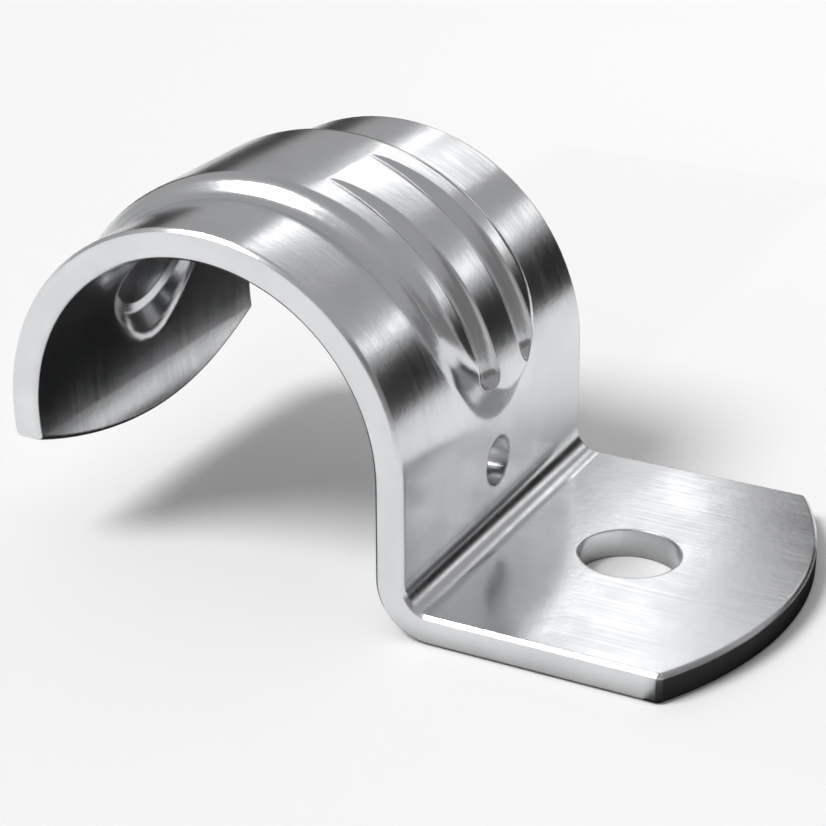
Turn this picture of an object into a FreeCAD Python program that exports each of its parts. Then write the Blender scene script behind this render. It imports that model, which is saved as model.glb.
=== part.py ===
import FreeCAD, Part
import math
import os
import Sketcher

# Conduit strap: one strip of zinc-plated sheet steel, bent and pressed in one go.
# A hook goes over the conduit, a short leg comes down and a foot with a screw hole lies on the wall.
# X runs from the hook to the foot, Y along the conduit, Z away from the wall.
# The origin is the middle of the screw hole on the mounting face.

os.makedirs("parts", exist_ok=True)
doc = FreeCAD.newDocument("conduit_strap")

# ---- sizes, in millimetres and degrees ----
sizes = doc.addObject("Spreadsheet::Sheet", "sizes")
given = [
    ("conduit_diameter", "23.42", "outside of 3/4 inch trade size thin-wall conduit"),
    ("seat_clearance", "0.08", "on the diameter"),
    ("sheet_thickness", "1.9", "14 gauge steel"),
    ("strip_width", "25.4", "one inch strip"),
    ("draw_down", "2.4", "gap the screw pulls out when it nips the conduit"),
    ("bend_radius", "1.6", "inside of the fold between leg and foot"),
    ("foot_reach", "15.9", "leg face to the corners of the foot"),
    ("foot_bulge", "3.7", "rise of the rounded foot end past its corners"),
    ("screw_hole_diameter", "6.35", "quarter inch screw hole"),
    ("screw_hole_setback", "8.9", "leg face to the middle of the screw hole"),
    ("pin_hole_diameter", "3.2", "small hole through the leg"),
    ("pin_hole_height", "6.2", "mounting face to the middle of the small hole"),
    ("tip_drop", "1.9", "centre of the conduit down to the corners of the free end"),
    ("tip_bulge", "2.4", "rise of the rounded free end past its corners"),
    ("rib_width", "12.4", "pressed rib where it leaves the flat bands"),
    ("rib_height", "1.15", "pressed rib above the flat bands"),
    ("rib_wall_lean", "30", "slope of the rib walls away from square"),
    ("rib_end_angle", "34", "up from level, where each rounded rib end begins"),
    ("rib_shoulder_radius", "1.2", "outside rounding along the top of the rib"),
    ("rib_root_radius", "1.0", "outside hollow along the foot of the rib"),
    ("channel_mouth_radius", "1.2", "inside rounding where the rib opens"),
    ("channel_roof_break", "0.35", "slope that eases the corners inside the rib"),
    ("flute_spacing", "5.3", "between the two flutes that flank the crown of the rib"),
    ("flute_radius", "1.2", "hollow of a flute"),
    ("flute_depth", "0.85", "deepest, at the leg end"),
    ("flute_low_angle", "15", "up from level, where a flute stops"),
    ("flute_high_angle", "74", "up from level, where a flute fades out"),
    ("edge_break", "0.22", "sheared edges after tumbling"),
    ("cut_margin", "3", "how far a cutting outline runs past the metal"),
    ("cone_depth", "5", "how far a rib end's cone starts below the sheet"),
    ("over_run", "1", "how far a pressed form runs past the face that trims it"),
]
worked_out = [
    ("seat_radius", "=(conduit_diameter + seat_clearance) / 2"),
    ("back_radius", "=seat_radius + sheet_thickness"),
    ("arch_height", "=seat_radius - draw_down"),
    ("arch_setback", "=screw_hole_setback + back_radius"),
    ("seat_parting_level", "=arch_height + seat_radius * sin(rib_end_angle * 1deg)"),
    ("half_width", "=strip_width / 2"),
    ("trim_half", "=half_width + cut_margin"),
    ("sheet_cut", "=4 * sheet_thickness"),
    ("core_cut", "=2 * (strip_width + cut_margin)"),
    ("fold_radius", "=bend_radius + sheet_thickness"),
    ("foot_corner", "=foot_reach - screw_hole_setback"),
    ("foot_crown", "=foot_corner + foot_bulge"),
    ("foot_blank", "=foot_crown + cut_margin"),
    ("foot_far", "=foot_blank + cut_margin"),
    ("tip_crown", "=tip_drop + tip_bulge"),
    ("tip_blank_drop", "=tip_crown + over_run"),
    ("tip_blank_level", "=arch_height - tip_blank_drop"),
    ("tip_cut_depth", "=back_radius + cut_margin"),
    ("pin_hole_radius", "=pin_hole_diameter / 2"),
    ("screw_hole_radius", "=screw_hole_diameter / 2"),
    ("wall_run", "=tan(rib_wall_lean * 1deg)"),
    ("rib_sweep", "=180 - 2 * rib_end_angle"),
    ("nose_turn", "=90 - rib_end_angle"),
    ("rib_root_level", "=back_radius - sheet_thickness / 2"),
    ("rib_root_half", "=rib_width / 2 + sheet_thickness / 2 * wall_run"),
    ("rib_top_level", "=back_radius + rib_height"),
    ("rib_top_half", "=rib_width / 2 - rib_height * wall_run"),
    ("nose_low_level", "=back_radius - cone_depth"),
    ("nose_low_half", "=rib_width / 2 + cone_depth * wall_run"),
    ("nose_high_level", "=rib_top_level + over_run"),
    ("nose_high_half", "=rib_top_half - over_run * wall_run"),
    ("skim_level", "=rib_top_level + cut_margin"),
    ("channel_half", "=rib_width / 2 - sheet_thickness * wall_run"),
    ("channel_low_level", "=seat_radius - over_run"),
    ("channel_low_half", "=channel_half + over_run * wall_run"),
    ("channel_top_level", "=seat_radius + rib_height"),
    ("channel_top_half", "=channel_half - rib_height * wall_run"),
    ("hollow_low_level", "=seat_radius - cone_depth"),
    ("hollow_low_half", "=channel_half + cone_depth * wall_run"),
    ("hollow_high_level", "=channel_top_level + over_run"),
    ("hollow_high_half", "=channel_top_half - over_run * wall_run"),
    ("flute_half_spacing", "=flute_spacing / 2"),
    ("flute_sweep", "=flute_high_angle - flute_low_angle"),
    ("flute_shift", "=flute_depth / (1 - cos(flute_sweep * 1deg))"),
    ("flute_path", "=rib_top_level - flute_depth + flute_radius + flute_shift"),
    ("flute_centre_setback", "=arch_setback + flute_shift * cos(flute_low_angle * 1deg)"),
    ("flute_centre_height", "=arch_height - flute_shift * sin(flute_low_angle * 1deg)"),
    ("flute_mid_turn", "=90 - (flute_low_angle + flute_high_angle) / 2"),
    ("flute_low_turn", "=90 - flute_low_angle"),
]
row = 1
for name, amount, note in given:
    sizes.set("A%d" % row, name)
    sizes.set("B%d" % row, amount)
    sizes.set("C%d" % row, note)
    sizes.setAlias("B%d" % row, name)
    row += 1
for name, formula in worked_out:
    sizes.set("A%d" % row, name)
    sizes.setAlias("B%d" % row, name)
    sizes.set("B%d" % row, formula)
    row += 1
doc.recompute()

plus = 1
minus = -1
close_enough = 0.01
no_move = FreeCAD.Vector(0, 0, 0)
along_x = FreeCAD.Vector(1, 0, 0)
along_z = FreeCAD.Vector(0, 0, 1)


def size_of(name):
    return float(sizes.get(name))


def part_body(name):
    body = doc.addObject("PartDesign::Body", name)
    body.Label = name
    return body


def plane_of(body, role):
    for item in body.Origin.OriginFeatures:
        if item.Role == role:
            return item
    raise RuntimeError("no plane " + role)


def sketch_on(body, name, role, moves, turn_axis=None, turn=None):
    """A sketch on one of the body's own planes, moved by named sizes and turned by one."""
    sketch = body.newObject("Sketcher::SketchObject", name)
    sketch.AttachmentSupport = [(plane_of(body, role), "")]
    sketch.MapMode = "FlatFace"
    if turn_axis is not None:
        any_turn = 10.0
        sketch.AttachmentOffset = FreeCAD.Placement(no_move, FreeCAD.Rotation(turn_axis, any_turn))
        sketch.setExpression("AttachmentOffset.Rotation.Angle", turn)
    for letter, formula in moves.items():
        sketch.setExpression("AttachmentOffset.Base." + letter, formula)
    return sketch


def hold(sketch, kind, numbers, start, formula):
    """A driving size in a sketch, tied to the sheet of sizes."""
    index = sketch.addConstraint(Sketcher.Constraint(kind, *numbers, start))
    sketch.setExpression("Constraints[%d]" % index, formula)


def place_point(sketch, geo, end, across, up):
    """Ties one end of a line to signed named sizes; None means on the axis."""
    if across is None:
        sketch.addConstraint(Sketcher.Constraint("PointOnObject", geo, end, -2))
    else:
        sign, name = across
        hold(sketch, "DistanceX", (-1, 1, geo, end), sign * size_of(name), "%d * sizes.%s" % (sign, name))
    if up is None:
        sketch.addConstraint(Sketcher.Constraint("PointOnObject", geo, end, -1))
    else:
        sign, name = up
        hold(sketch, "DistanceY", (-1, 1, geo, end), sign * size_of(name), "%d * sizes.%s" % (sign, name))


def spot(across, up):
    """The point that the same signed names stand for."""
    x = 0.0 if across is None else across[0] * size_of(across[1])
    y = 0.0 if up is None else up[0] * size_of(up[1])
    return FreeCAD.Vector(x, y, 0)


def outline(sketch, corners):
    """A closed outline of straight lines through corners named by size."""
    points = [spot(*corner) for corner in corners]
    lines = []
    for index, point in enumerate(points):
        following = points[(index + 1) % len(points)]
        lines.append(sketch.addGeometry(Part.LineSegment(point, following), False))
    for index, line in enumerate(lines):
        following = lines[(index + 1) % len(lines)]
        sketch.addConstraint(Sketcher.Constraint("Coincident", line, 2, following, 1))
    for line, corner in zip(lines, corners):
        place_point(sketch, line, 1, *corner)


def bulged_outline(sketch, corners, crown):
    """As outline, but the last side is an arc from the last corner through the crown."""
    points = [spot(*corner) for corner in corners]
    lines = []
    for index in range(len(points) - 1):
        lines.append(sketch.addGeometry(Part.LineSegment(points[index], points[index + 1]), False))
    arc_curve = Part.Arc(points[-1], spot(*crown), points[0])
    arc = sketch.addGeometry(arc_curve, False)
    for index in range(len(lines) - 1):
        sketch.addConstraint(Sketcher.Constraint("Coincident", lines[index], 2, lines[index + 1], 1))
    # The arc may be stored the other way round, so each end is matched by where it lies.
    first_end = 1
    if sketch.getPoint(arc, 1).distanceToPoint(points[0]) > sketch.getPoint(arc, 2).distanceToPoint(points[0]):
        first_end = 2
    sketch.addConstraint(Sketcher.Constraint("Coincident", lines[0], 1, arc, first_end))
    sketch.addConstraint(Sketcher.Constraint("Coincident", lines[-1], 2, arc, 3 - first_end))
    for line, corner in zip(lines, corners):
        place_point(sketch, line, 1, *corner)
    place_point(sketch, lines[-1], 2, *corners[-1])
    marker = sketch.addGeometry(Part.Point(spot(*crown)), True)
    place_point(sketch, marker, 1, *crown)
    sketch.addConstraint(Sketcher.Constraint("PointOnObject", marker, 1, arc))


def round_hole(sketch, across, up, radius_name):
    circle = Part.Circle(spot(across, up), along_z, size_of(radius_name))
    geo = sketch.addGeometry(circle, False)
    hold(sketch, "Radius", (geo,), size_of(radius_name), "sizes." + radius_name)
    if across is None and up is None:
        sketch.addConstraint(Sketcher.Constraint("Coincident", geo, 3, -1, 1))
    else:
        place_point(sketch, geo, 3, across, up)


def turn_feature(body, kind, name, sketch, axis_name, angle_formula, both_ways):
    feature = body.newObject(kind, name)
    feature.Profile = sketch
    feature.ReferenceAxis = (sketch, [axis_name])
    feature.Midplane = both_ways
    feature.setExpression("Angle", angle_formula)
    finish(body, feature, sketch)


def cut_feature(body, name, sketch, length_formula, both_ways):
    before = body.Shape.Volume
    feature = body.newObject("PartDesign::Pocket", name)
    feature.Profile = sketch
    feature.Midplane = both_ways
    feature.setExpression("Length", length_formula)
    finish(body, feature, sketch)
    if body.Shape.Volume > before - close_enough:
        raise RuntimeError(name + " took nothing away")


def finish(body, feature, sketch):
    """Faces parted on purpose on the strap stay parted; the press tools are tidied."""
    sketch.Visibility = False
    feature.Refine = body.Name != "strap"
    doc.recompute()


arch_on_side = {"x": "-sizes.arch_setback", "y": "sizes.arch_height"}
arch_on_end = {"y": "sizes.arch_height", "z": "-sizes.arch_setback"}


# ---- the rib as pressed: a ridge over the hook with a rounded nose at each end ----
def ridge(name, low, top, nose_low, nose_high):
    """Solid ridge round the arch: sloping walls, and a leaning cone at each end for the nose."""
    body = part_body(name)
    section = sketch_on(body, name + "_section", "YZ_Plane", arch_on_end)
    outline(section, [
        ((minus, low[1]), (plus, low[0])),
        ((plus, low[1]), (plus, low[0])),
        ((plus, top[1]), (plus, top[0])),
        ((minus, top[1]), (plus, top[0])),
    ])
    turn_feature(body, "PartDesign::Revolution", name + "_sweep", section, "H_Axis", "sizes.rib_sweep", True)
    for end, turn in (("leg", "-sizes.nose_turn"), ("tip", "sizes.nose_turn")):
        cone = sketch_on(body, name + "_" + end + "_nose", "XZ_Plane", arch_on_side, along_z, turn)
        outline(cone, [
            (None, (plus, nose_low[0])),
            ((plus, nose_low[1]), (plus, nose_low[0])),
            ((plus, nose_high[1]), (plus, nose_high[0])),
            (None, (plus, nose_high[0])),
        ])
        turn_feature(body, "PartDesign::Revolution", name + "_" + end + "_end", cone, "V_Axis", "360", False)
    # Everything outside the top of the ridge is turned away, so the noses follow the arch.
    skim = sketch_on(body, name + "_skim", "YZ_Plane", arch_on_end)
    outline(skim, [
        ((minus, "trim_half"), (plus, top[0])),
        ((plus, "trim_half"), (plus, top[0])),
        ((plus, "trim_half"), (plus, "skim_level")),
        ((minus, "trim_half"), (plus, "skim_level")),
    ])
    turn_feature(body, "PartDesign::Groove", name + "_top", skim, "H_Axis", "360", False)
    return body


ridge_body = ridge(
    "rib_press",
    ("rib_root_level", "rib_root_half"),
    ("rib_top_level", "rib_top_half"),
    ("nose_low_level", "nose_low_half"),
    ("nose_high_level", "nose_high_half"),
)
core = sketch_on(ridge_body, "rib_core", "XZ_Plane", arch_on_side)
round_hole(core, None, None, "rib_root_level")
cut_feature(ridge_body, "rib_core_cut", core, "sizes.core_cut", True)

channel_body = ridge(
    "rib_channel",
    ("channel_low_level", "channel_low_half"),
    ("channel_top_level", "channel_top_half"),
    ("hollow_low_level", "hollow_low_half"),
    ("hollow_high_level", "hollow_high_half"),
)

# ---- the strip: hook, leg, fold and foot seen from the side ----
strap = part_body("strap")
side = sketch_on(strap, "side_view", "XZ_Plane", {})
thick = size_of("sheet_thickness")
bend = size_of("bend_radius")
leg_x = -size_of("screw_hole_setback")
arch_x = -size_of("arch_setback")
arch_z = size_of("arch_height")
back = size_of("back_radius")
seat = size_of("seat_radius")
foot_x = size_of("foot_blank")
parting_level = size_of("seat_parting_level")
tip_level = size_of("tip_blank_level")
rib_turn = math.radians(size_of("rib_end_angle"))
tip_turn = math.pi + math.asin(size_of("tip_blank_drop") / seat)


def at(x, z):
    return FreeCAD.Vector(x, z, 0)


def arch_point(radius, turn):
    return at(arch_x + radius * math.cos(turn), arch_z + radius * math.sin(turn))


def line_between(start, stop):
    return side.addGeometry(Part.LineSegment(start, stop), False)


def arc_about(middle, radius, start, stop):
    return side.addGeometry(Part.ArcOfCircle(Part.Circle(middle, along_z, radius), start, stop), False)


arch_middle = at(arch_x, arch_z)
fold_middle = at(leg_x + bend, thick + bend)
foot_end = line_between(at(foot_x, 0), at(foot_x, thick))
foot_top = line_between(at(foot_x, thick), at(leg_x + bend, thick))
inner_fold = arc_about(fold_middle, bend, math.pi, 1.5 * math.pi)
leg_face = line_between(at(leg_x, thick + bend), at(leg_x, arch_z))
arch_back = arc_about(arch_middle, back, 0.0, tip_turn)
tip_end = line_between(arch_point(back, tip_turn), arch_point(seat, tip_turn))
# The seat is three arcs, parted where the rib's rounded ends begin, so its bands are faces of their own.
seat_by_tip = arc_about(arch_middle, seat, math.pi - rib_turn, tip_turn)
seat_crown = arc_about(arch_middle, seat, rib_turn, math.pi - rib_turn)
seat_by_leg = arc_about(arch_middle, seat, 0.0, rib_turn)
leg_back = line_between(at(leg_x - thick, arch_z), at(leg_x - thick, thick + bend))
outer_fold = arc_about(fold_middle, bend + thick, math.pi, 1.5 * math.pi)
mount_face = line_between(at(leg_x + bend, 0), at(foot_x, 0))
joined = [
    ("Coincident", foot_end, 2, foot_top, 1),
    ("Tangent", foot_top, 2, inner_fold, 2),
    ("Tangent", inner_fold, 1, leg_face, 1),
    ("Tangent", leg_face, 2, arch_back, 1),
    ("Coincident", arch_back, 2, tip_end, 1),
    ("Coincident", tip_end, 2, seat_by_tip, 2),
    ("Coincident", seat_by_tip, 1, seat_crown, 2),
    ("Coincident", seat_crown, 1, seat_by_leg, 2),
    ("Tangent", seat_by_leg, 1, leg_back, 1),
    ("Tangent", leg_back, 2, outer_fold, 1),
    ("Tangent", outer_fold, 2, mount_face, 1),
    ("Coincident", mount_face, 2, foot_end, 1),
    ("Coincident", arch_back, 3, seat_by_leg, 3),
    ("Coincident", arch_back, 3, seat_crown, 3),
    ("Coincident", arch_back, 3, seat_by_tip, 3),
    ("Coincident", inner_fold, 3, outer_fold, 3),
    ("PointOnObject", mount_face, 1, -1),
    ("PointOnObject", arch_back, 3, tip_end),
    ("Vertical", foot_end),
    ("Horizontal", foot_top),
    ("Vertical", leg_face),
    ("Vertical", leg_back),
    ("Horizontal", mount_face),
]
for rule in joined:
    side.addConstraint(Sketcher.Constraint(*rule))
hold(side, "Radius", (inner_fold,), bend, "sizes.bend_radius")
hold(side, "Radius", (outer_fold,), bend + thick, "sizes.fold_radius")
hold(side, "Radius", (arch_back,), back, "sizes.back_radius")
hold(side, "DistanceX", (-1, 1, arch_back, 3), arch_x, "-sizes.arch_setback")
hold(side, "DistanceY", (-1, 1, arch_back, 3), arch_z, "sizes.arch_height")
hold(side, "DistanceX", (-1, 1, foot_end, 1), foot_x, "sizes.foot_blank")
hold(side, "DistanceY", (-1, 1, tip_end, 2), tip_level, "sizes.tip_blank_level")
hold(side, "DistanceY", (-1, 1, seat_crown, 1), parting_level, "sizes.seat_parting_level")
hold(side, "DistanceY", (-1, 1, seat_crown, 2), parting_level, "sizes.seat_parting_level")
doc.recompute()
strip = strap.newObject("PartDesign::Pad", "strip")
strip.Profile = side
strip.Midplane = True
strip.setExpression("Length", "sizes.strip_width")
finish(strap, strip, side)

# ---- rounded ends, cut corner to corner ----
foot_trim = sketch_on(strap, "foot_trim", "XY_Plane", {})
bulged_outline(foot_trim, [
    ((plus, "foot_corner"), (plus, "half_width")),
    ((plus, "foot_corner"), (plus, "trim_half")),
    ((plus, "foot_far"), (plus, "trim_half")),
    ((plus, "foot_far"), (minus, "trim_half")),
    ((plus, "foot_corner"), (minus, "trim_half")),
    ((plus, "foot_corner"), (minus, "half_width")),
], ((plus, "foot_crown"), None))
cut_feature(strap, "foot_end_cut", foot_trim, "sizes.sheet_cut", True)
tip_trim = sketch_on(strap, "tip_trim", "YZ_Plane", arch_on_end)
bulged_outline(tip_trim, [
    ((minus, "half_width"), (minus, "tip_drop")),
    ((minus, "trim_half"), (minus, "tip_drop")),
    ((minus, "trim_half"), (minus, "back_radius")),
    ((plus, "trim_half"), (minus, "back_radius")),
    ((plus, "trim_half"), (minus, "tip_drop")),
    ((plus, "half_width"), (minus, "tip_drop")),
], (None, (minus, "tip_crown")))
cut_feature(strap, "tip_cut", tip_trim, "sizes.tip_cut_depth", False)

# ---- the rib pressed out of the sheet: raised outside, hollow inside ----
for name, kind, tool in (("rib_raised", "Fuse", ridge_body), ("rib_hollowed", "Cut", channel_body)):
    pressed = strap.newObject("PartDesign::Boolean", name)
    pressed.setObjects([tool])
    pressed.Type = kind
    pressed.Refine = False
    doc.recompute()


def edges_where(shape, test):
    """Names of the edges whose points, from end to end, all pass the test."""
    steps = 6
    names = []
    for index, edge in enumerate(shape.Edges):
        first, last = edge.ParameterRange
        samples = [edge.valueAt(first + (last - first) * step / steps) for step in range(steps + 1)]
        if edge.Length > close_enough and all(test(point) for point in samples):
            names.append("Edge%d" % (index + 1))
    return names


def ring_edges(level):
    """Edges of the rib at one distance from the conduit's axis, without joints square across it."""
    inside_bands = size_of("half_width") - size_of("over_run")

    def on_ring(point):
        distance = math.hypot(point.x - arch_x, point.z - arch_z)
        return abs(distance - level) < close_enough and abs(point.y) < inside_bands

    kept = []
    for name in edges_where(strap.Shape, on_ring):
        edge = strap.Shape.getElement(name)
        ends = [vertex.Point.y for vertex in edge.Vertexes]
        across = len(ends) == 2 and abs(abs(ends[0] - ends[1]) - edge.Length) < close_enough
        if not across:
            kept.append(name)
    return kept


def ease_edges(kind, name, names, property_name, formula):
    """A rounding or a bevel on the named edges."""
    if not names:
        raise RuntimeError(name + " found no edges")
    base = strap.Tip
    feature = strap.newObject("PartDesign::" + kind, name)
    feature.Base = (base, names)
    feature.Refine = False
    feature.setExpression(property_name, formula)
    doc.recompute()


for name, level in (
    ("rib_shoulder", "rib_top_level"),
    ("rib_root", "back_radius"),
    ("channel_mouth", "seat_radius"),
):
    ease_edges("Fillet", name, ring_edges(size_of(level)), "Radius", "sizes." + name + "_radius")
ease_edges("Chamfer", "channel_roof", ring_edges(size_of("channel_top_level")), "Size", "sizes.channel_roof_break")

# ---- two flutes that flank the crown of the rib and deepen towards the leg ----
flute_moves = {"y": "sizes.flute_centre_height", "z": "-sizes.flute_centre_setback"}
for hand, sign in (("near", minus), ("far", plus)):
    middle_of_flute = ((sign, "flute_half_spacing"), (plus, "flute_path"))
    bead = sketch_on(strap, hand + "_flute", "YZ_Plane", flute_moves, along_x, "sizes.flute_mid_turn")
    round_hole(bead, *middle_of_flute, "flute_radius")
    turn_feature(strap, "PartDesign::Groove", hand + "_flute_cut", bead, "H_Axis", "sizes.flute_sweep", True)
    # The low end of the flute is a ball: half a disc turned about its own upright line.
    ball = sketch_on(strap, hand + "_flute_ball", "YZ_Plane", flute_moves, along_x, "sizes.flute_low_turn")
    middle = spot(*middle_of_flute)
    reach = FreeCAD.Vector(0, size_of("flute_radius"), 0)
    disc = Part.ArcOfCircle(Part.Circle(middle, along_z, reach.y), -0.5 * math.pi, 0.5 * math.pi)
    curve = ball.addGeometry(disc, False)
    flat = ball.addGeometry(Part.LineSegment(middle + reach, middle - reach), False)
    spindle = ball.addGeometry(Part.LineSegment(middle + reach, middle - reach), True)
    for line in (flat, spindle):
        ball.addConstraint(Sketcher.Constraint("Coincident", line, 1, curve, 2))
        ball.addConstraint(Sketcher.Constraint("Coincident", line, 2, curve, 1))
    ball.addConstraint(Sketcher.Constraint("Vertical", flat))
    ball.addConstraint(Sketcher.Constraint("PointOnObject", curve, 3, flat))
    place_point(ball, curve, 3, *middle_of_flute)
    hold(ball, "Radius", (curve,), reach.y, "sizes.flute_radius")
    turn_feature(strap, "PartDesign::Groove", hand + "_flute_end", ball, "Axis0", "360", False)

# ---- screw hole through the foot, small hole through the leg ----
screw = sketch_on(strap, "screw_hole", "XY_Plane", {})
round_hole(screw, None, None, "screw_hole_radius")
cut_feature(strap, "screw_hole_cut", screw, "sizes.sheet_cut", True)
pin = sketch_on(strap, "pin_hole", "YZ_Plane", {"z": "-sizes.screw_hole_setback"})
round_hole(pin, None, (plus, "pin_hole_height"), "pin_hole_radius")
cut_feature(strap, "pin_hole_cut", pin, "sizes.sheet_cut", True)

# ---- sheared edges, broken all round ----
half = size_of("half_width")
foot_corner = size_of("foot_corner")
tip_corner_level = arch_z - size_of("tip_drop")


def on_sheared_edge(point):
    """On a long side of the strip or one of its rounded ends."""
    long_side = abs(abs(point.y) - half) < close_enough
    foot_end_edge = point.x > foot_corner - close_enough
    tip_edge = point.z < tip_corner_level + close_enough and point.x < arch_x
    return long_side or foot_end_edge or tip_edge


ease_edges("Chamfer", "broken_edges", edges_where(strap.Shape, on_sheared_edge), "Size", "sizes.edge_break")

# ---- every object is sound, then the strap goes out ----
for item in doc.Objects:
    if "Invalid" in item.State or "Error" in item.State:
        raise RuntimeError(item.Name + " did not build: " + str(item.State))
    if item.TypeId == "Sketcher::SketchObject" and item.solve() != 0:
        raise RuntimeError(item.Name + " is not solved")
shape = strap.Shape
if shape.isNull() or not shape.isValid() or len(shape.Solids) != 1:
    raise RuntimeError("the strap is not one sound solid")
box = shape.BoundBox
print("strap %.2f x %.2f x %.2f mm, volume %.1f" % (box.XLength, box.YLength, box.ZLength, shape.Volume))
shape.exportStep("parts/strap.step")
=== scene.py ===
import bmesh
import bpy
import math
from mathutils import Matrix, Vector

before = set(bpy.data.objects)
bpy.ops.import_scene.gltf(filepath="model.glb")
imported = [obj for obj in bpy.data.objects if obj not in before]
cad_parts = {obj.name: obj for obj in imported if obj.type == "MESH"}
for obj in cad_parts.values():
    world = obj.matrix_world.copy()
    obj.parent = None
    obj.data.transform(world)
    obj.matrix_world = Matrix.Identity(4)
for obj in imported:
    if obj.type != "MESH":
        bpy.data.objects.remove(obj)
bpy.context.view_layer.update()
scene = bpy.context.scene
mm = 0.001
middle = Vector((-14.4 * mm, 0.0, 10.9 * mm))      # what the camera and the lamps point at
print("frame loaded:", len(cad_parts), "piece")


def directionFrom(azimuth, elevation):             # in degrees, azimuth 0 is the near side
    turn = math.radians(azimuth)
    rise = math.radians(elevation)
    flat = math.cos(rise)
    return Vector((math.sin(turn) * flat, -math.cos(turn) * flat, math.sin(rise)))


def addToScene(name, data):
    item = bpy.data.objects.new(name, data)
    scene.collection.objects.link(item)
    return item


def newMaterial(name):
    material = bpy.data.materials.new(name)
    material.use_nodes = True
    return material, material.node_tree.nodes["Principled BSDF"]


def plainMaterial(name, values):
    material, shader = newMaterial(name)
    setInputs(shader, values)
    return material


def addNode(tree, kind, **settings):
    node = tree.nodes.new("ShaderNode" + kind)
    for key, value in settings.items():
        setattr(node, key, value)
    return node


def setInputs(node, values):
    for key, value in values.items():
        node.inputs[key].default_value = value


def join(tree, start, output, end, socket):
    tree.links.new(start.outputs[output], end.inputs[socket])


def colourSocket(sockets, name):                   # a Mix node repeats each name for other kinds
    return [item for item in sockets if item.name == name and item.type == "RGBA"][0]


def addNoise(tree, scale, detail, roughness):      # object coordinates, a scale for each axis
    places = addNode(tree, "TexCoord")
    mapping = addNode(tree, "Mapping")
    noise = addNode(tree, "TexNoise")
    setInputs(mapping, {"Scale": scale})
    setInputs(noise, {"Scale": 1.0, "Detail": detail, "Roughness": roughness})
    join(tree, places, "Object", mapping, "Vector")
    join(tree, mapping, "Vector", noise, "Vector")
    return noise


def addRange(tree, source, output, span, ends=(0.0, 1.0)):
    reach = addNode(tree, "MapRange", interpolation_type="SMOOTHSTEP")
    setInputs(reach, {"From Min": span[0], "From Max": span[1]})
    setInputs(reach, {"To Min": ends[0], "To Max": ends[1]})
    join(tree, source, output, reach, "Value")
    return reach


def addMath(tree, operation, first, second):       # each side is a (node, output) pair or a number
    node = addNode(tree, "Math", operation=operation)
    for index, side in enumerate((first, second)):
        if isinstance(side, tuple):
            join(tree, side[0], side[1], node, index)
        else:
            node.inputs[index].default_value = side
    return node


def addTint(tree, factor, before, after):          # before is a colour or a tint, after is a colour
    tint = addNode(tree, "Mix", data_type="RGBA")
    join(tree, factor, "Result", tint, "Factor")
    if isinstance(before, tuple):
        colourSocket(tint.inputs, "A").default_value = before
    else:
        tree.links.new(colourSocket(before.outputs, "Result"), colourSocket(tint.inputs, "A"))
    colourSocket(tint.inputs, "B").default_value = after
    return tint


# the strap is rolled sheet with a bright zinc plate
zincSetup = {
    "colour": (0.75, 0.76, 0.775, 1.0),
    "cloudColour": (0.70, 0.71, 0.73, 1.0),        # where the plate is a little duller
    "rubbedColour": (0.84, 0.845, 0.85, 1.0),      # edges worn bright
    "paintedShadeColour": (0.24, 0.24, 0.235, 1.0),      # painted shade, darkening the corners and flutes
    "roughness": (0.17, 0.25),                     # brightest and dullest plate
    "shearedRoughness": 0.16,                      # added on the cut sides
    "rubbedRoughness": 0.06,                       # taken away on worn edges
    "edgeReach": 0.22 * mm,
    "paintedShadeReach": 2.4 * mm,
    "probeSamples": 6,
    "grainHeight": 0.0022 * mm,
    "peelHeight": 0.0035 * mm,
    "noises": {                                    # scale per metre, detail, roughness
        "cloud": ((260.0, 260.0, 260.0), 3.0, 0.5),
        "grain": ((45.0, 3400.0, 45.0), 4.0, 0.6),     # rolling marks along the strip
        "peel": ((2400.0, 2400.0, 2400.0), 2.0, 0.5),
        "scuff": ((700.0, 240.0, 700.0), 5.0, 0.65),
    },
    "spans": {                                     # where each mask starts, and where it is full
        "edge": (0.995, 0.9),                      # how well rounded and true normals agree
        "paintedShadeMask": (0.86, 0.48),                    # how open the place is, for the painted shade
        "scuff": (0.42, 0.62),
        "rubbed": (0.0, 1.0),
        "sheared": (0.8, 0.97),                    # how squarely a face looks along the conduit
        "cloud": (0.35, 0.7),
        "dull": (0.08, 0.46),
    },
}


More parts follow.
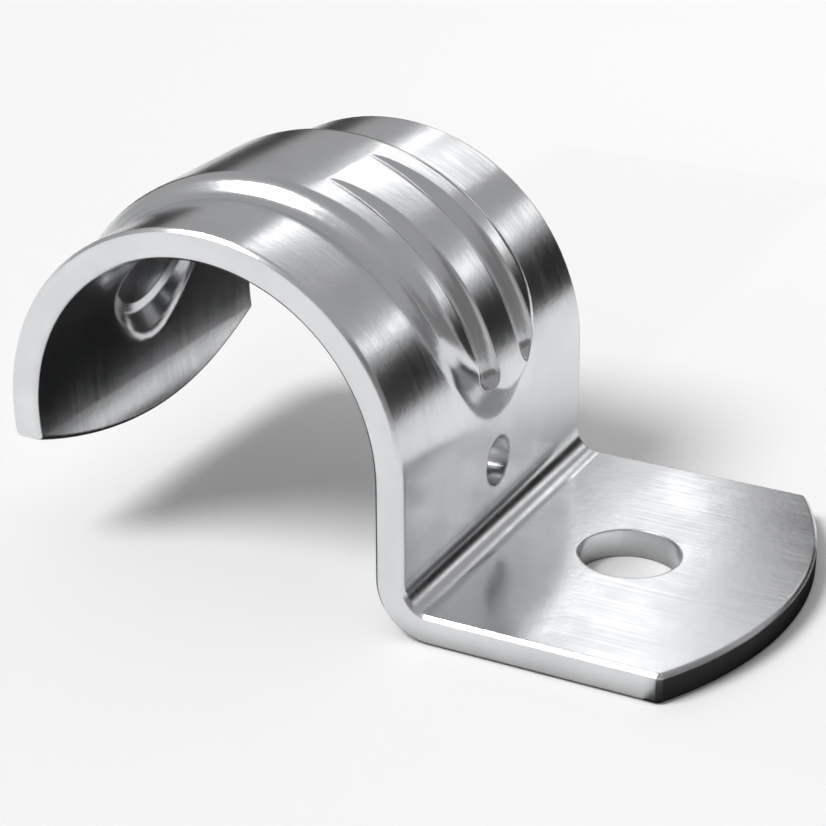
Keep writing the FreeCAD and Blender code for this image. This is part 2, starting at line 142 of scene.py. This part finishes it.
def makeZinc(values):
    material, shader = newMaterial("zincPlatedSteel")
    tree = material.node_tree
    spans = values["spans"]
    cloud, grain, peel, scuff = (
        addNoise(tree, *values["noises"][name]) for name in ("cloud", "grain", "peel", "scuff"))

    # worn edges: where the rounded normal leaves the true one, outside the corners
    geometry = addNode(tree, "NewGeometry")
    rounded = addNode(tree, "Bevel", samples=values["probeSamples"])
    setInputs(rounded, {"Radius": values["edgeReach"]})
    agree = addNode(tree, "VectorMath", operation="DOT_PRODUCT")
    join(tree, geometry, "Normal", agree, 0)
    join(tree, rounded, "Normal", agree, 1)
    edge = addRange(tree, agree, "Value", spans["edge"])
    # painted shade: the plate darkens where ambient occlusion finds it enclosed, in corners and
    # flutes
    openness = addNode(tree, "AmbientOcclusion", samples=values["probeSamples"])
    setInputs(openness, {"Distance": values["paintedShadeReach"]})
    paintedShadeMask = addRange(tree, openness, "AO", spans["paintedShadeMask"])
    patchy = addRange(tree, scuff, "Fac", spans["scuff"])
    worn = addMath(tree, "MULTIPLY", (edge, "Result"), (patchy, "Result"))
    outward = addMath(tree, "SUBTRACT", (worn, "Value"), (paintedShadeMask, "Result"))
    rubbed = addRange(tree, outward, "Value", spans["rubbed"])

    # cut sides of the strip, which the plate leaves duller
    facing = addNode(tree, "SeparateXYZ")
    join(tree, geometry, "Normal", facing, "Vector")
    across = addMath(tree, "ABSOLUTE", (facing, "Y"), 0.0)
    sheared = addRange(tree, across, "Value", spans["sheared"])

    clouded = addRange(tree, cloud, "Fac", spans["cloud"])
    plate = addTint(tree, clouded, values["colour"], values["cloudColour"])
    # the painted shade is tinted into the plate colour
    paintedShadeTint = addTint(tree, paintedShadeMask, plate, values["paintedShadeColour"])
    bright = addTint(tree, rubbed, paintedShadeTint, values["rubbedColour"])
    tree.links.new(colourSocket(bright.outputs, "Result"), shader.inputs["Base Color"])

    mixed = addMath(tree, "MULTIPLY", (grain, "Fac"), (cloud, "Fac"))
    dull = addRange(tree, mixed, "Value", spans["dull"], values["roughness"])
    cut = addMath(tree, "MULTIPLY", (sheared, "Result"), values["shearedRoughness"])
    polish = addMath(tree, "MULTIPLY", (rubbed, "Result"), -values["rubbedRoughness"])
    total = addMath(tree, "ADD", (dull, "Result"), (cut, "Value"))
    final = addMath(tree, "ADD", (total, "Value"), (polish, "Value"))
    join(tree, final, "Value", shader, "Roughness")

    grainHeight = addMath(tree, "MULTIPLY", (grain, "Fac"), values["grainHeight"])
    peelHeight = addMath(tree, "MULTIPLY", (peel, "Fac"), values["peelHeight"])
    height = addMath(tree, "ADD", (grainHeight, "Value"), (peelHeight, "Value"))
    bump = addNode(tree, "Bump")
    setInputs(bump, {"Strength": 1.0, "Distance": 1.0})
    join(tree, height, "Value", bump, "Height")
    join(tree, rounded, "Normal", bump, "Normal")
    join(tree, bump, "Normal", shader, "Normal")
    setInputs(shader, {"Metallic": 1.0})
    return material


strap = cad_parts["strap"]
strap.data.materials.clear()
strap.data.materials.append(makeZinc(zincSetup))
print("strap finished in zinc plate")


floorSetup = {
    "size": 3.0,                                   # metres across
    "drop": 0.02 * mm,                             # under the foot
    "colour": (0.96, 0.96, 0.96, 1.0),
    "roughness": 0.7,
}


def addFloor(values):
    floorMesh = bpy.data.meshes.new("floor")
    shape = bmesh.new()
    bmesh.ops.create_grid(shape, x_segments=1, y_segments=1, size=values["size"] / 2)
    bmesh.ops.translate(shape, verts=shape.verts, vec=(0.0, 0.0, -values["drop"]))
    shape.to_mesh(floorMesh)
    shape.free()
    paper = {"Base Color": values["colour"], "Roughness": values["roughness"]}
    floorMesh.materials.append(plainMaterial("palePaper", paper))
    addToScene("floor", floorMesh)


addFloor(floorSetup)
print("floor laid")


worldSetup = {
    "level": 0.4,                                  # overhead
    "horizonLevel": 0.885,                         # as pale as the floor where the two meet
    "fade": (0.05, 0.2),                           # sines of the elevations that it fades between
}
keySetup = {
    "azimuth": -40.0,
    "elevation": 52.0,
    "spread": 25.0,                                # degrees across, which softens the shadow
    "strength": 2.25,
}
softboxes = {                                      # small, behind, for the bright bands
    "archSoftbox": {"azimuth": 187.0, "elevation": 34.0, "distance": 200 * mm,
                    "width": 90 * mm, "height": 20 * mm, "tilt": 17.0, "power": 0.0095},
    "footSoftbox": {"azimuth": 196.5, "elevation": 27.5, "distance": 184 * mm,
                    "width": 12 * mm, "height": 42 * mm, "tilt": -31.0, "power": 0.003},
    "legSoftbox": {"azimuth": 153.0, "elevation": 21.5, "distance": 175 * mm,
                   "width": 60 * mm, "height": 14 * mm, "tilt": 0.0, "power": 0.0034},
}
standingFlags = {                                  # upright cards, low and high edges in degrees
    "legFlag": {"azimuth": 150.0, "low": -5.0, "high": 15.0, "distance": 150 * mm,
                "width": 160 * mm, "shade": 0.01},
    "fluteFlag": {"azimuth": 92.0, "low": 3.0, "high": 36.0, "distance": 150 * mm,
                  "width": 130 * mm, "shade": 0.20},
    "crownFlag": {"azimuth": 48.0, "low": 0.0, "high": 32.0, "distance": 170 * mm,
                  "width": 130 * mm, "shade": 0.28},
    "footFlag": {"azimuth": 182.0, "low": 19.0, "high": 29.0, "distance": 160 * mm,
                 "width": 34 * mm, "shade": 0.01},
    "hookFlag": {"azimuth": 222.0, "low": 0.0, "high": 14.0, "distance": 150 * mm,
                 "width": 110 * mm, "shade": 0.02},
}
lyingFlags = {                                     # dark cards on the floor
    "hookCard": {"left": -40 * mm, "right": -12 * mm, "near": -11 * mm, "far": 80 * mm,
                 "shade": 0.03},
    "footCard": {"left": 6 * mm, "right": 30 * mm, "near": -16 * mm, "far": 14 * mm,
                 "shade": 0.03},
}


def makeWorld(values):                             # pale at the horizon and darker overhead
    world = bpy.data.worlds.new("studio")
    scene.world = world
    world.use_nodes = True
    tree = world.node_tree
    place = addNode(tree, "TexCoord")
    split = addNode(tree, "SeparateXYZ")
    join(tree, place, "Generated", split, "Vector")
    levels = (values["horizonLevel"], values["level"])
    fade = addRange(tree, split, "Z", values["fade"], levels)
    join(tree, fade, "Result", tree.nodes["Background"], "Color")


def addKey(values):
    keyData = bpy.data.lights.new("keyLamp", "SUN")
    keyData.energy = values["strength"]
    keyData.angle = math.radians(values["spread"])
    away = directionFrom(values["azimuth"], values["elevation"])
    key = addToScene("keyLamp", keyData)
    key.rotation_euler = away.to_track_quat("Z", "Y").to_euler()


def addSoftbox(name, values):
    lampData = bpy.data.lights.new(name, "AREA")
    lampData.shape = "RECTANGLE"
    lampData.size = values["width"]
    lampData.size_y = values["height"]
    lampData.energy = values["power"]
    away = directionFrom(values["azimuth"], values["elevation"])
    tilt = Matrix.Rotation(math.radians(values["tilt"]), 3, "Z")
    lamp = addToScene(name, lampData)
    lamp.location = middle + away * values["distance"]
    lamp.rotation_euler = (away.to_track_quat("Z", "Y").to_matrix() @ tilt).to_euler()


def newCard(width, height):                        # flat, round the origin, facing up
    shape = bmesh.new()
    bmesh.ops.create_grid(shape, x_segments=1, y_segments=1, size=0.5)     # a metre across
    bmesh.ops.scale(shape, verts=shape.verts, vec=(width, height, 1.0))
    return shape


def addFlag(name, shape, shade):                   # a dull card that only the metal sees
    flagMesh = bpy.data.meshes.new(name)
    shape.to_mesh(flagMesh)
    shape.free()
    card = {"Base Color": (shade, shade, shade, 1.0), "Roughness": 1.0, "Specular IOR Level": 0.0}
    flagMesh.materials.append(plainMaterial(name + "Card", card))
    flag = addToScene(name, flagMesh)
    flag.visible_camera = False
    flag.visible_shadow = False
    flag.visible_diffuse = False


def addStandingFlag(name, values):
    outward = directionFrom(values["azimuth"], 0.0)
    low = values["distance"] * math.tan(math.radians(values["low"]))
    high = values["distance"] * math.tan(math.radians(values["high"]))
    shape = newCard(values["width"], high - low)
    upright = outward.to_track_quat("Z", "Y").to_matrix().to_4x4()
    bmesh.ops.transform(shape, verts=shape.verts, matrix=upright)
    centre = middle + outward * values["distance"] + Vector((0.0, 0.0, (high + low) / 2))
    bmesh.ops.translate(shape, verts=shape.verts, vec=centre)
    addFlag(name, shape, values["shade"])


def addLyingFlag(name, values):                    # just over the floor
    left, right, near, far = (values[edge] for edge in ("left", "right", "near", "far"))
    shape = newCard(right - left, far - near)
    centre = Vector(((left + right) / 2, (near + far) / 2, -floorSetup["drop"] / 2))
    bmesh.ops.translate(shape, verts=shape.verts, vec=centre)
    addFlag(name, shape, values["shade"])


makeWorld(worldSetup)
addKey(keySetup)
for name, values in softboxes.items():
    addSoftbox(name, values)
for name, values in standingFlags.items():
    addStandingFlag(name, values)
for name, values in lyingFlags.items():
    addLyingFlag(name, values)
print("lamps and flags placed")


cameraSetup = {
    "azimuth": 27.2,
    "elevation": 23.2,
    "distance": 138.8 * mm,
    "lens": 97.5,
    "sensor": 36.0,
    "shiftX": -0.0075,
    "shiftY": -0.0463,
    "nearest": 10 * mm,                            # nothing closer is drawn
}


def addCamera(values):
    cameraData = bpy.data.cameras.new("strapCamera")
    cameraData.lens = values["lens"]
    cameraData.sensor_width = values["sensor"]
    cameraData.shift_x = values["shiftX"]
    cameraData.shift_y = values["shiftY"]
    cameraData.clip_start = values["nearest"]
    away = directionFrom(values["azimuth"], values["elevation"])
    camera = addToScene("strapCamera", cameraData)
    camera.location = middle + away * values["distance"]
    camera.rotation_euler = away.to_track_quat("Z", "Y").to_euler()
    scene.camera = camera


addCamera(cameraSetup)
scene.view_settings.view_transform = "Standard"
print("camera placed")
